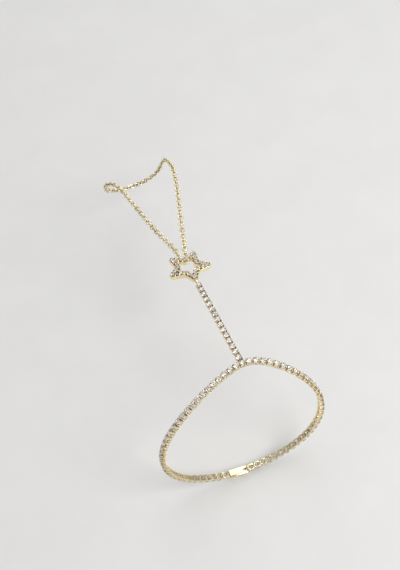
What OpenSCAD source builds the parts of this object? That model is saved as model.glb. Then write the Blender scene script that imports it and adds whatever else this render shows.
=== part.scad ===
// Hand chain bracelet: a closed chain of round stones in four-prong cups for the wrist, a strand
// of the same cups along the back of the hand, an open star and a fine chain for the middle finger.
// It keeps the form that it has on a left hand. X points to the thumb, Y to the fingertips and Z
// out of the back of the hand. The origin is the middle of the wrist.

/* [Wrist] */
// Width of the wrist inside the chain
wrist_w = 54; // [46:0.5:64]
// Thickness of the wrist inside the chain
wrist_h = 43.5; // [36:0.5:52]
// Squareness of the wrist, where 2 is an ellipse
wrist_power = 2.1; // [2:0.05:2.6]
// Where the strand leaves the wrist chain, from the middle of the back towards the thumb
junction_angle = 11.5; // [-10:0.5:20]
// How far the strand draws the wrist chain towards the fingers
junction_pull = 11; // [4:0.5:14]
// Angle by which half of the pull has faded, on the little finger's side
fade_little = 56; // [45:1:75]
// Angle by which half of the pull has faded, on the thumb's side
fade_thumb = 58; // [45:1:75]
// Place of the chain under the palm, as a share of the pull
palm_share = -0.5; // [-0.8:0.05:0]

/* [Cup chain] */
// Distance from one cup to the next
cup_pitch = 2.3; // [2.25:0.05:2.6]
// Length of a cup along the chain
cup_l = 2; // [1.9:0.05:2.05]
// Width of a cup across the chain
cup_w = 2.1; // [2:0.05:2.4]
// Height of a cup's wall above its hinge pin
cup_wall_h = 0.75; // [0.7:0.05:0.8]
// Thickness of the end wall that holds the pin
end_wall = 0.34; // [0.3:0.02:0.4]
// Thickness of a cup's wall round its bore
bore_wall = 0.22; // [0.18:0.02:0.3]
// Bevel of a cup's upright corners
cup_bevel = 0.15; // [0.1:0.05:0.3]
// Diameter of the hinge pin
pin_d = 0.28; // [0.22:0.02:0.3]
// Outer diameter of the eye that turns on the pin
eye_d = 0.9; // [0.86:0.02:0.92]
// Thickness of the eye
eye_t = 0.4; // [0.3:0.02:0.44]
// Gap between the pin and its eye, all round
pin_gap = 0.15; // [0.12:0.01:0.16]
// Gap on each side of the eye
eye_side_gap = 0.2; // [0.18:0.01:0.24]
// Gap above the eye
eye_top_gap = 0.14; // [0.1:0.01:0.16]
// Diameter of the round window in each side of a cup
window_d = 0.45; // [0.3:0.05:0.55]
// Width of the scallop between the prongs at each side of a cup
scallop_d = 0.9; // [0.6:0.05:1]

/* [Stones] */
// Diameter of a chain stone
stone_d = 1.84; // [1.7:0.02:1.88]
// Diameter of a star stone
star_stone_d = 1.2; // [0.9:0.05:1.2]
// Gap between a stone and its metal
stone_gap = 0.1; // [0.1:0.01:0.12]
// Diameter of a prong
prong_d = 0.32; // [0.28:0.01:0.34]
// Width of the flat table, as a share of the stone
table_share = 0.56; // [0.5:0.01:0.62]
// Height of the crown, as a share of the stone
crown_share = 0.15; // [0.13:0.01:0.17]
// Thickness of the girdle, as a share of the stone
girdle_share = 0.03; // [0.02:0.01:0.04]
// Depth of the pavilion, as a share of the stone
pavilion_share = 0.42; // [0.4:0.01:0.44]

/* [Strand] */
// Cups between the wrist chain and the star
strand_cups = 15; // [8:1:22]
// Direction of the strand at the wrist, from straight ahead towards the little finger
heading_start = 6; // [0:0.5:9]
// Direction of the strand at the star
heading_end = 4.5; // [0:0.5:9]
// Slope of the strand at the wrist, above level
slope_start = -1; // [-4:0.5:3]
// Slope of the strand at the star
slope_end = -10; // [-16:0.5:-4]

/* [Star] */
// Distance from the star's centre to its points
star_reach = 7.7; // [7.2:0.1:8.6]
// Distance from the star's centre to the middle of the band between two points
star_waist = 3.35; // [3.2:0.05:3.7]
// Width of the star's band
star_band = 1.9; // [1.8:0.05:2.1]
// Height of the star's side wall
star_h = 1.7; // [1.5:0.05:2]
// How far the star's floor lies below the cups' floors
star_sink = 0.4; // [0.2:0.05:0.6]
// Radius of the hollow between two points
waist_round = 1.8; // [1:0.1:2.4]
// Radius of the corners of the open middle
opening_round = 0.45; // [0.3:0.05:0.6]
// Slope of the star, above level
star_slope = -14.5; // [-20:0.5:-8]
// Lean of the star towards the thumb
star_lean = 8; // [0:0.5:12]
// Stones along each of the star's ten edges
edge_stones = 3; // [2:1:3]
// Distance from the last pin of the strand to the star's nearest point
star_link = 1.5; // [1.4:0.05:1.7]

/* [Finger chain] */
// Outer width of the fine chain
fine_chain_w = 1.5; // [1.2:0.1:1.8]
// Distance from the star's middle line to each soldered ring
ring_offset = 1.2; // [1.2:0.05:1.6]
// Outer diameter of a soldered ring
ring_d = 1.4; // [1.3:0.05:1.5]
// Wire of a soldered ring
ring_wire = 0.34; // [0.3:0.02:0.4]
// Gap between a soldered ring and the end of the chain
ring_gap = 0.15; // [0.1:0.05:0.3]

/* [Clasp] */
// Number of cups whose place the clasp takes
clasp_slots = 3; // [3:1:4]
// Width of the clasp
clasp_w = 3; // [2.6:0.1:3.6]
// Bevel along the clasp's edges
clasp_bevel = 0.4; // [0.2:0.05:0.6]

/* [Hidden] */
$fn = 24;

// Cup, measured from its pin: x runs along the chain and z out of the skin
eye_reach = eye_d / 2;
floor_gap = 0.05;
cup_floor = eye_reach + floor_gap;
cup_mid = cup_l / 2 - end_wall / 2;
slot_w = eye_t + 2 * eye_side_gap;
slot_top = eye_reach + eye_top_gap;
bore_d = cup_l - 2 * bore_wall;
prong_out = (stone_d / 2 + stone_gap + prong_d / 2) / sqrt(2);
top_share = girdle_share + crown_share;
pavilion_tilt = atan(2 * pavilion_share);
// A stone hangs in its bore with the stone's gap all round
girdle_z = cup_wall_h + (stone_d - bore_d) / 2 * tan(pavilion_tilt)
           + stone_gap / cos(pavilion_tilt);
prong_rise = 0.03;
prong_top = girdle_z + top_share * stone_d + prong_rise;
prong_foot = 0.2;
window_z = -0.05;
scallop_lift = 0.15;
scallop_z = cup_wall_h + scallop_lift;
pin_seat = 0.1;
neck_seat = 2 / 3 * bore_wall;
overcut = 0.5;

// Route of the wrist chain at the height of its pins
route_w = wrist_w / 2 + cup_floor;
route_h = wrist_h / 2 + cup_floor;
fade_power_little = 1.6;
fade_power_thumb = 1.75;
apex_turn = 3;
corner_angle = 4;
route_steps = 720;

// Points that the fine chain follows, from the star's centre, chosen by hand along the back of
// the hand and round the middle finger
finger_route = [
    [-1.9, 9, -1.6], [-3.5, 14.2, -1.9], [-5.6, 20.2, -2.6], [-7.3, 26.8, -3.5], [-8.8, 33, -4.4],
    [-10.4, 40, -5.6], [-12.1, 46.8, -7], [-14.3, 51.3, -8.4], [-16.2, 53.4, -10.6],
    [-16.9, 55, -14], [-16.3, 57, -18.5], [-13.6, 59, -22.6], [-9.4, 60.4, -25.2],
    [-4.6, 61, -26], [0, 60.8, -24.8], [3.8, 60.2, -21.8], [6.1, 59.4, -17.6], [7.3, 58, -13.2],
    [8.1, 55.8, -10.6], [8.7, 52.4, -8.6], [8.9, 48.3, -7.4], [8, 41.6, -6.1], [6.6, 33.6, -4.7],
    [4.9, 26, -3.6], [3.4, 19, -2.7], [1.9, 11.4, -2]];
finger_middle = [-4.5, 57, -17];
tube_sides = 8;
tube_steps = 2;

function unit(v) = v / norm(v);
function mix(a, b, t) = a + (b - a) * t;
function power(v, e) = sign(v) * pow(abs(v), e);
function running(list) = [for (i = 0, s = 0; i < len(list); s = s + list[i], i = i + 1) s];
function total(list) = [for (v = list) 1] * list;

// A frame is [origin, x axis, y axis, z axis]
function frame_of(a, b, up) =
    let (x = unit(b - a), y = unit(cross(up, x)))
    [a, x, y, cross(x, y)];
function at(f, p) = f[0] + f[1] * p[0] + f[2] * p[1] + f[3] * p[2];

module place(f) {
    multmatrix([for (i = [0:2]) [f[1][i], f[2][i], f[3][i], f[0][i]]]) children();
}

// Wrist chain: the section is a rounded oval, and the pull of the strand fades round it from the
// apex, which lies a little to the thumb's side of the strand and is rounded off
function eased(a) = a * a / sqrt(a * a + corner_angle * corner_angle);
function faded(a, half, e) = 1 - 1 / (1 + pow(eased(a) / half, e));
function pull(a) =
    let (b = a - apex_turn,
         gone = b < 0 ? faded(b, fade_little, fade_power_little)
                        / faded(-180 - apex_turn, fade_little, fade_power_little)
                      : faded(b, fade_thumb, fade_power_thumb)
                        / faded(180 - apex_turn, fade_thumb, fade_power_thumb))
    junction_pull * mix(1, palm_share, gone);
function wrist_point(a) =
    let (s = sin(a + junction_angle), c = cos(a + junction_angle), e = 2 / wrist_power)
    [route_w * power(s, e), pull(a), route_h * power(c, e)];
function wrist_up(p) =
    [power(p[0] / route_w, wrist_power - 1) / route_w, 0,
     power(p[2] / route_h, wrist_power - 1) / route_h];
route_points = [for (i = [0:route_steps]) wrist_point(-180 + i * 360 / route_steps)];
route_gaps = [for (i = [0:route_steps - 1]) norm(route_points[i + 1] - route_points[i])];
route_lengths = running(route_gaps);
route_length = total(route_gaps);
route_table = [for (i = [0:route_steps])
    [i < route_steps ? route_lengths[i] : route_length, -180 + i * 360 / route_steps]];
function wrapped(s) = s - route_length * floor(s / route_length);
function along_wrist(s) = wrist_point(lookup(wrapped(s), route_table));
slots = round(route_length / cup_pitch);
wrist_pitch = route_length / slots;
junction_s = route_lengths[route_steps / 2];
pins = [for (i = [0:slots]) along_wrist(junction_s - cup_mid + i * wrist_pitch)];
clasp_slot = floor(slots / 2) - floor(clasp_slots / 2);
cup_slots = [for (i = [1:slots - 1]) if (i < clasp_slot || i >= clasp_slot + clasp_slots) i];
function wrist_frame(i, n = 1) =
    frame_of(pins[i], pins[i + n], wrist_up((pins[i] + pins[i + n]) / 2));
wrist_frames = [for (i = cup_slots) wrist_frame(i)];
junction_frame = wrist_frame(0);
clasp_frame = wrist_frame(clasp_slot, clasp_slots);
clasp_reach = norm(pins[clasp_slot + clasp_slots] - pins[clasp_slot]);

// Strand: cups in a row whose direction turns a little from cup to cup
function way(heading, slope) =
    [-sin(heading) * cos(slope), cos(heading) * cos(slope), sin(slope)];
function strand_way(i) =
    let (t = i / strand_cups)
    way(mix(heading_start, heading_end, t), mix(slope_start, slope_end, t));
side_reach = cup_pitch - cup_mid;
junction_mid = at(junction_frame, [cup_mid, 0, 0]);
strand_first = junction_mid + side_reach * strand_way(0);
strand_steps = [for (i = [0:strand_cups - 1]) cup_pitch * strand_way(i)];
strand_pins = [for (i = 0, p = strand_first; i <= strand_cups;
                    p = p + (i < strand_cups ? strand_steps[i] : [0, 0, 0]), i = i + 1) p];
strand_frames = [for (i = [0:strand_cups - 1])
    frame_of(strand_pins[i], strand_pins[i + 1], [0, 0, 1])];

// Star: its own y axis follows the strand
star_way = way(heading_end, star_slope);
star_flat = frame_of([0, 0, 0], star_way, [0, 0, 1]);
star_z = cos(star_lean) * star_flat[3] - sin(star_lean) * star_flat[2];
star_x = cross(star_way, star_z);
star_mid = strand_pins[strand_cups] + (star_link + star_reach) * star_way;
star_place = [star_mid, star_x, star_way, star_z];
mid_reach = star_reach - star_band / 2;
tip_half = atan2(star_waist * sin(36), mid_reach - star_waist * cos(36));
waist_half = tip_half + 36;
star_floor = -cup_floor - star_sink;
star_top = star_floor + star_h;
// The channel's rounded ends are cut with flats, and the ease makes room for them
channel_ease = 0.01;
channel_half = star_stone_d / 2 + stone_gap + channel_ease;
star_girdle_lift = 0.05;
star_girdle = star_top + star_girdle_lift;
channel_floor = star_girdle - pavilion_share * star_stone_d - stone_gap;
star_prong_d = 0.3;
tip_prong_out = (star_stone_d + star_prong_d) / 2 + stone_gap;
star_prong_top = star_girdle + top_share * star_stone_d + prong_rise;
corner_steps = 5;

function polar(r, a) = [r * cos(a), r * sin(a)];
// The ten corners of the star's middle line, moved out by d
function star_corners(d) = [for (k = [0:9])
    k % 2 == 0 ? polar(mid_reach + d / sin(tip_half), -90 + 36 * k)
               : polar(star_waist + d / sin(waist_half), -90 + 36 * k)];
// An arc in place of the corner at b
function rounded(a, b, c, r) =
    let (u = unit(a - b), v = unit(c - b), half = acos(u * v) / 2,
         m = b + unit(u + v) * r / sin(half), start = b + u * r / tan(half) - m,
         sweep = sign(u[0] * v[1] - u[1] * v[0]) * (180 - 2 * half) * -1,
         first = atan2(start[1], start[0]))
    [for (i = [0:corner_steps]) m + polar(r, first + sweep * i / corner_steps)];
function star_outline(d, tip_r, waist_r) =
    let (p = star_corners(d), n = len(p))
    [for (k = [0:n - 1], q = rounded(p[(k + n - 1) % n], p[k], p[(k + 1) % n],
                                     k % 2 == 0 ? tip_r : waist_r)) q];
// Places along the middle line, with the stones at whole numbers
mid_corners = star_corners(0);
star_places = 10 * edge_stones;
function star_at(i) =
    let (k = floor(i / edge_stones) % 10, t = i / edge_stones - floor(i / edge_stones))
    mix(mid_corners[k], mid_corners[(k + 1) % 10], t);
function star_side(i) =
    let (k = floor(i / edge_stones) % 10, u = unit(mid_corners[(k + 1) % 10] - mid_corners[k]))
    [u[1], -u[0]];
// Prongs stand between the stones: outside all round and at the tips, inside away from the tips
function from_tip(i) =
    let (j = i % (2 * edge_stones)) min(j, 2 * edge_stones - j);
gaps = [for (i = [0:star_places - 1]) i + 0.5];
star_prongs = concat(
    [for (i = gaps) star_at(i) + channel_half * star_side(i)],
    [for (i = gaps) if (from_tip(i) > 1) star_at(i) - channel_half * star_side(i)],
    [for (k = [0:4]) polar(mid_reach + tip_prong_out, -90 + 72 * k)]);

// A round stone: an eight-sided table, sixteen crown facets, a girdle and eight below
function ring8(r, z, turn) = [for (k = [0:7]) [r * cos(45 * k + turn), r * sin(45 * k + turn), z]];
function stone_points(d, z) = concat(
    ring8(table_share * d / 2, z + top_share * d, 0),
    ring8(d / 2, z + girdle_share * d, 22.5),
    ring8(d / 2, z, 22.5),
    [[0, 0, z - pavilion_share * d]]);
stone_faces = concat(
    [[for (k = [7:-1:0]) k]],
    [for (k = [0:7]) [k, (k + 1) % 8, 8 + k]],
    [for (k = [0:7]) [(k + 1) % 8, 8 + (k + 1) % 8, 8 + k]],
    [for (k = [0:7]) [8 + k, 8 + (k + 1) % 8, 16 + (k + 1) % 8, 16 + k]],
    [for (k = [0:7]) [16 + k, 16 + (k + 1) % 8, 24]]);
// One stone in each frame, with its middle at [x, y]
module stones(frames, middle, d, z) {
    base = [for (p = stone_points(d, z)) p + [middle[0], middle[1], 0]];
    polyhedron([for (f = frames, p = base) at(f, p)],
               [for (i = [0:len(frames) - 1], f = stone_faces) [for (v = f) v + i * len(base)]]);
}

// The eye that reaches for the next pin, and the neck that carries it
module eye(from, reach) {
    difference() {
        union() {
            translate([from, -eye_t / 2, -eye_t / 2]) cube([reach - from, eye_t, eye_t]);
            translate([reach, eye_t / 2, 0]) rotate([90, 0, 0]) cylinder(d = eye_d, h = eye_t);
        }
        translate([reach, eye_t, 0]) rotate([90, 0, 0])
            cylinder(d = pin_d + 2 * pin_gap, h = 2 * eye_t);
    }
}

// The slot for the eye, open below and towards the last cup
module eye_slot(depth) {
    translate([-end_wall / 2 - overcut, -slot_w / 2, -cup_floor - overcut])
        cube([depth + end_wall / 2 + overcut, slot_w, cup_floor + slot_top + overcut]);
}

module pin() {
    translate([0, slot_w / 2 + pin_seat, 0]) rotate([90, 0, 0])
        cylinder(d = pin_d, h = slot_w + 2 * pin_seat);
}

module bevelled(l, w, bevel) {
    polygon([[-l / 2 + bevel, -w / 2], [l / 2 - bevel, -w / 2], [l / 2, -w / 2 + bevel],
             [l / 2, w / 2 - bevel], [l / 2 - bevel, w / 2], [-l / 2 + bevel, w / 2],
             [-l / 2, w / 2 - bevel], [-l / 2, -w / 2 + bevel]]);
}

// One four-prong cup, from its own pin to the eye for the next one
module cup(reach, windows) {
    difference() {
        union() {
            translate([cup_mid, 0, -cup_floor]) linear_extrude(cup_floor + cup_wall_h)
                bevelled(cup_l, cup_w, cup_bevel);
            for (x = [-1, 1], y = [-1, 1])
                translate([cup_mid + x * prong_out, y * prong_out, prong_foot])
                    cylinder(d = prong_d, h = prong_top - prong_foot);
        }
        translate([cup_mid, 0, -cup_floor - overcut])
            cylinder(d = bore_d, h = cup_floor + cup_wall_h + 2 * overcut);
        eye_slot(cup_mid);
        for (y = windows)
            translate([cup_mid, y * cup_w / 2 + overcut, window_z]) rotate([90, 0, 0])
                cylinder(d = window_d, h = 2 * overcut);
        translate([cup_mid, cup_w / 2 + overcut, scallop_z]) rotate([90, 0, 0])
            cylinder(d = scallop_d, h = cup_w + 2 * overcut);
    }
    pin();
    eye(cup_mid + cup_l / 2 - neck_seat, reach);
}

module wrist_cups() {
    color("gold")
        for (f = wrist_frames) place(f) cup(wrist_pitch, [-1, 1]);
}

module wrist_stones() {
    color("white") stones(wrist_frames, [cup_mid, 0], stone_d, girdle_z);
}

// The cup that carries the strand has a second eye, towards the fingers
module junction_cup() {
    color("gold") union() {
        place(junction_frame) cup(wrist_pitch, [-1]);
        place(frame_of(junction_mid, strand_first, [0, 0, 1]))
            eye(cup_w / 2 - neck_seat, side_reach);
    }
}

module junction_stone() {
    color("white") stones([junction_frame], [cup_mid, 0], stone_d, girdle_z);
}

module strand_cups_row() {
    color("gold")
        for (f = strand_frames) place(f) cup(cup_pitch, [-1, 1]);
}

module strand_stones() {
    color("white") stones(strand_frames, [cup_mid, 0], stone_d, girdle_z);
}

// The block at the star's nearest point, with the pin for the strand's last eye
clevis_wall = 0.25;
module star_clevis() {
    block_w = slot_w + 2 * clevis_wall;
    translate([0, -star_link - star_reach, 0]) rotate([0, 0, 90]) {
        difference() {
            translate([-end_wall / 2, -block_w / 2, -cup_floor])
                cube([star_link + star_band / 2, block_w, cup_floor + cup_wall_h]);
            eye_slot(eye_reach + eye_top_gap);
        }
        pin();
    }
}

// Small rings for the fine chain, upright on the two walls that meet between two points
ring_seat = 0.15;
ring_y = star_waist + ring_offset / tan(waist_half) + star_band / 2 / sin(waist_half)
         + ring_d / 2 - ring_seat;
ring_z = (star_floor + star_top) / 2;
module soldered_ring(side) {
    translate([side * ring_offset, ring_y, ring_z]) rotate([0, 90, 0])
        rotate_extrude() translate([ring_d / 2 - ring_wire / 2, 0]) circle(d = ring_wire);
}

module star_frame() {
    color("gold") place(star_place) union() {
        difference() {
            union() {
                translate([0, 0, star_floor]) linear_extrude(star_h)
                    polygon(star_outline(star_band / 2, star_band / 2, waist_round));
                star_clevis();
            }
            translate([0, 0, star_floor - overcut]) linear_extrude(star_h + 2 * overcut)
                polygon(star_outline(-star_band / 2, opening_round, opening_round));
            translate([0, 0, channel_floor]) linear_extrude(star_h) difference() {
                polygon(star_outline(channel_half, channel_half, waist_round));
                polygon(star_outline(-channel_half, opening_round, opening_round));
            }
        }
        for (p = star_prongs)
            translate([p[0], p[1], channel_floor])
                cylinder(d = star_prong_d, h = star_prong_top - channel_floor);
        for (side = [-1, 1]) soldered_ring(side);
    }
}

module star_stones() {
    places = [for (i = [0:star_places - 1]) at(star_place, [star_at(i)[0], star_at(i)[1], 0])];
    color("white")
        stones([for (p = places) [p, star_x, star_way, star_z]], [0, 0], star_stone_d, star_girdle);
}

// Fine chain: a tube of the chain's width along its route, from one soldered ring to the other
function ring_end(side) =
    at(star_place, [side * ring_offset, ring_y + ring_d / 2 + ring_gap, ring_z]);
finger_points = concat([ring_end(-1)], [for (p = finger_route) star_mid + p], [ring_end(1)]);
function spline(p, i, t) =
    let (n = len(p), a = i > 0 ? p[i - 1] : 2 * p[0] - p[1], b = p[i], c = p[i + 1],
         d = i + 2 < n ? p[i + 2] : 2 * p[n - 1] - p[n - 2])
    (2 * b + (c - a) * t + (2 * a - 5 * b + 4 * c - d) * t * t
     + (3 * b - a - 3 * c + d) * t * t * t) / 2;
tube_points = concat(
    [for (i = [0:len(finger_points) - 2], k = [0:tube_steps - 1])
        spline(finger_points, i, k / tube_steps)],
    [finger_points[len(finger_points) - 1]]);
function tube_frame(i) =
    let (n = len(tube_points), a = tube_points[max(i - 1, 0)], b = tube_points[min(i + 1, n - 1)],
         x = unit(b - a), out = tube_points[i] - star_mid - finger_middle,
         y = unit(cross([out[0], 0, out[2]], x)))
    [tube_points[i], x, y, cross(x, y)];

module finger_chain() {
    rings = len(tube_points);
    points = [for (i = [0:rings - 1], k = [0:tube_sides - 1])
        at(tube_frame(i), [0, fine_chain_w / 2 * cos(360 * k / tube_sides),
                           fine_chain_w / 2 * sin(360 * k / tube_sides)])];
    sides = [for (i = [0:rings - 2], k = [0:tube_sides - 1])
        let (m = (k + 1) % tube_sides, a = i * tube_sides, b = a + tube_sides)
        [a + k, b + k, b + m, a + m]];
    ends = [[for (k = [0:tube_sides - 1]) k],
            [for (k = [tube_sides - 1:-1:0]) (rings - 1) * tube_sides + k]];
    color("gold") polyhedron(points, concat(sides, ends));
}

// Clasp: one plain closed piece under the palm, with the chain's own pin and eye at its ends
module clasp() {
    body_l = clasp_reach - end_wall;
    color("gold") place(clasp_frame) union() {
        difference() {
            translate([body_l / 2 - end_wall / 2, 0, -cup_floor])
                linear_extrude(cup_floor + girdle_z) bevelled(body_l, clasp_w, clasp_bevel);
            eye_slot(eye_reach + eye_top_gap);
        }
        pin();
        eye(body_l - end_wall, clasp_reach);
    }
}

wrist_cups();
wrist_stones();
junction_cup();
junction_stone();
strand_cups_row();
strand_stones();
star_frame();
star_stones();
finger_chain();
clasp();
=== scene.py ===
import math

import bpy
import numpy as np
from bpy.props import FloatProperty, FloatVectorProperty, IntProperty, PointerProperty
from mathutils import Matrix, Vector


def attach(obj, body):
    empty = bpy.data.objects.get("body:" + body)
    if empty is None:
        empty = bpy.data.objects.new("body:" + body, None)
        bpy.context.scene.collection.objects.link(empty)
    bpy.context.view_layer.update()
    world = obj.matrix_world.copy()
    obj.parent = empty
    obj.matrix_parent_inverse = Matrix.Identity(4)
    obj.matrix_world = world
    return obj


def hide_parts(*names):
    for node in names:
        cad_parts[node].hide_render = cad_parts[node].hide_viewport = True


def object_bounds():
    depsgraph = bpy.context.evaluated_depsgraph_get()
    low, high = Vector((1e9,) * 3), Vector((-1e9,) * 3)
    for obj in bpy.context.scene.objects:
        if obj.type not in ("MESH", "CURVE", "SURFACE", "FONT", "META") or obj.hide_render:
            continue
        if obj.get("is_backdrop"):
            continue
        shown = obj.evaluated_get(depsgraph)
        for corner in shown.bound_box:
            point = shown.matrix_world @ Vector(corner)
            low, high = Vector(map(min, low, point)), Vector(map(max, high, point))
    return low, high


bl_info = {
    "name": "Hand Chain Bracelet",
    "version": (1, 0, 0),
    "blender": (4, 5, 0),
    "location": "View3D > Sidebar > Hand Chain",
    "description": "Builds a hand chain of round stones in cups, with a star and a fine chain",
    "category": "Add Mesh",
}

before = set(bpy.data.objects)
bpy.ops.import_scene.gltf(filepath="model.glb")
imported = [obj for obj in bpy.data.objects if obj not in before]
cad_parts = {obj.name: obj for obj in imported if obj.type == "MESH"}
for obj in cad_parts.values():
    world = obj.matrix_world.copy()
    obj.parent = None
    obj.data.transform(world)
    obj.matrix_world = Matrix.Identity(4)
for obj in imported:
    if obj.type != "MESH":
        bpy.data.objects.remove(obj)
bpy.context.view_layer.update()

# Shapes are worked out in millimetres and degrees, mostly from the solids' own driving sizes
MM = 0.001
UP = np.array([0.0, 0.0, 1.0])
ALONG_Y = np.array([0.0, 1.0, 0.0])

# Wrist chain: the width, thickness and squareness inside its loop; the strand's place, its pull
# and the share of that at the far side; on each side the angle by which half of it has faded and
# a power; where it is greatest, the angle that rounds it there and the steps of the route
WRIST_W, WRIST_H, WRIST_POWER = 54.0, 43.5, 2.1
JUNCTION_ANGLE, JUNCTION_PULL, PALM_SHARE = 11.5, 11.0, -0.5
FADE_LITTLE, FADE_THUMB = (56.0, 1.6), (58.0, 1.75)
APEX_TURN, CORNER_ANGLE, ROUTE_STEPS = 3.0, 4.0, 720

# Cup: its pitch, length, width, wall and corners, its end wall, the wall round its bore and the
# floor under its eye, its windows and scallops, and the points of its outline's sides, ends and
# corners
CUP_PITCH, CUP_L, CUP_W, CUP_WALL_H, CUP_CORNER = 2.3, 2.0, 2.1, 0.75, 0.3
END_WALL, BORE_WALL, FLOOR_GAP = 0.34, 0.22, 0.05
WINDOW_D, WINDOW_Z, SCALLOP_D, SCALLOP_LIFT = 0.45, -0.05, 1.1, 0.08
SIDE_POINTS, END_POINTS, CORNER_POINTS = 9, 5, 3

# Hinge: the pin, its gap in the eye and its seat, the eye, the neck and the room in the slot
PIN_D, PIN_GAP, PIN_SEAT = 0.28, 0.15, 0.1
EYE_D, EYE_T, EYE_SOFT, EYE_HOLE_SOFT = 0.9, 0.4, 0.06, 0.03
NECK_SEAT, NECK_SOFT = 0.1, 0.05
EYE_SIDE_GAP, EYE_TOP_GAP, SLOT_SOFT = 0.2, 0.14, 0.03

# Prong of a cup: its width, its seat in the rail, how far under the stone's top its round end
# begins, as a share of the end's radius, its lean and width at four heights, as shares, and the
# angles of a round end's loops
PRONG_D, PRONG_SEAT, PRONG_DIP = 0.32, 0.05, 0.9
PRONG_LEANS, PRONG_WIDTHS = (0.0, 0.08, 0.45, 1.0), (1.0, 1.0, 0.96, 0.8)
TIP_ARC = (35.0, 65.0, 84.0)

# Stones: the gap round them, the parts of their cut as shares of their width, and how each one
# is turned and tilted a little differently
STONE_D, STAR_STONE_D, STONE_GAP = 1.84, 1.2, 0.1
TABLE, CROWN, GIRDLE, PAVILION = 0.56, 0.15, 0.03, 0.42
STAR_FACETS, LOWER_FACETS, FACET_ANGLE = 0.42, 0.24, 45.0
SPIN_STEP, TILT_RATES = 137.5, (5.1, 3.3)
STONE_TILT, STAR_STONE_TILT = 0.03, 0.11

# Strand: its cups, and its heading and slope at the wrist and at the star
STRAND_CUPS, HEADINGS, SLOPES = 15, (6.0, 4.5), (-1.0, -10.0)

# Star: its reach, the reach between two points, its band, its height and its depth below the
# cups' floors, its roundings, slope and lean, its corners, and its stones and their channel
STAR_REACH, STAR_WAIST, STAR_BAND, STAR_H, STAR_SINK = 7.7, 3.35, 1.9, 1.7, 0.4
WAIST_ROUND, OPENING_ROUND, STAR_SLOPE, STAR_LEAN = 1.8, 0.45, -14.5, 8.0
STAR_POINTS, STAR_STEP, STAR_FIRST, STAR_CORNER_STEPS = 5, 36.0, -90.0, 8
EDGE_STONES, GIRDLE_LIFT, CHANNEL_EASE = 3, 0.05, 0.01

# Side prongs of the star: their height over the stones, and the neck's height, the tip's width
# and the round end's height as shares
SIDE_PRONG_RISE, SIDE_PRONG_NECK, SIDE_PRONG_TIP, SIDE_PRONG_ROUND = 0.1, 0.45, 0.86, 0.8

# Tip prongs of the star: the width that sets their place, their height over the stones, radius
# and turns, and at each bend a share of the lean, a share of the height and a radius
STAR_PRONG_D, TIP_PRONG_RISE, TIP_PRONG_R, TIP_PRONG_TURNS = 0.3, 0.25, 0.11, (-38.0, 0.0, 38.0)
TIP_PRONG_BENDS = ((0.3, 0.5, 0.1), (0.6, 0.85, 0.07), (0.8, 1.0, 0.02))

# Clevis: its reach from the last pin to the star and on into it, and its softness
STAR_LINK, CLEVIS_REACH, CLEVIS_SOFT = 1.5, 0.25, 0.15

# Soldered rings: their offset, width, wire, seat in the star and gap to the fine chain's bend
RING_OFFSET, RING_D, RING_WIRE, RING_SEAT, RING_GAP = 1.2, 1.4, 0.34, 0.15, 0.15

# Clasp: its length in pitches, its width, the power that crowns its faces, and its softness
CLASP_SLOTS, CLASP_W, CLASP_CROWN, CLASP_SOFT = 3, 3.0, 0.62, 0.3

# Fine chain: the squareness of a link, how far over the links lie, over how many links that is
# eased in, how it varies as an angle and a rate, where along the chain its twist is taken up, as
# shares, and the steps of its line between two points
LINK_SQUARENESS, LINK_LIE, LINK_EASE, LINK_VARIES = 0.86, -12.0, 4, (9.0, 2.4)
TWIST_FROM, TWIST_OVER, LINE_STEPS = 0.4, 0.2, 24

# Points of the fine chain from the star's middle
FINGER_ROUTE = np.array([
    (-1.9, 9, -1.6), (-3.5, 14.2, -1.9), (-5.6, 20.2, -2.6), (-7.3, 26.8, -3.5),
    (-8.8, 33, -4.4), (-10.4, 40, -5.6), (-12.1, 46.8, -7), (-14.3, 51.3, -8.4),
    (-16.2, 53.4, -10.6), (-16.9, 55, -14), (-16.3, 57, -18.5), (-13.6, 59, -22.6),
    (-9.4, 60.4, -25.2), (-4.6, 61, -26), (0, 60.8, -24.8), (3.8, 60.2, -21.8),
    (6.1, 59.4, -17.6), (7.3, 58, -13.2), (8.1, 55.8, -10.6), (8.7, 52.4, -8.6),
    (8.9, 48.3, -7.4), (8, 41.6, -6.1), (6.6, 33.6, -4.7), (4.9, 26, -3.6),
    (3.4, 19, -2.7), (1.9, 11.4, -2)], float)

# Sides of bars, pins and rings, and points round the clasp and round a link
BAR_SIDES, PRONG_SIDES, SIDE_PRONG_SIDES, PIN_SIDES, CUP_PIN_SIDES = 24, 8, 10, 12, 10
EYE_SIDES, RING_SIDES, WIRE_SIDES, CLASP_POINTS, LINK_POINTS = 16, 24, 10, 64, 28

# Angles of edges: those past the first are softened, shading is smooth up to the next three, and
# a cup wall's faces that meet at less than the last, which are flat together, are made one
SOFTENED_EDGE, METAL_CREASE, LINK_CREASE, FACET_CREASE, FLAT_EDGE = 40.0, 35.0, 60.0, 0.0, 0.1

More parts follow.
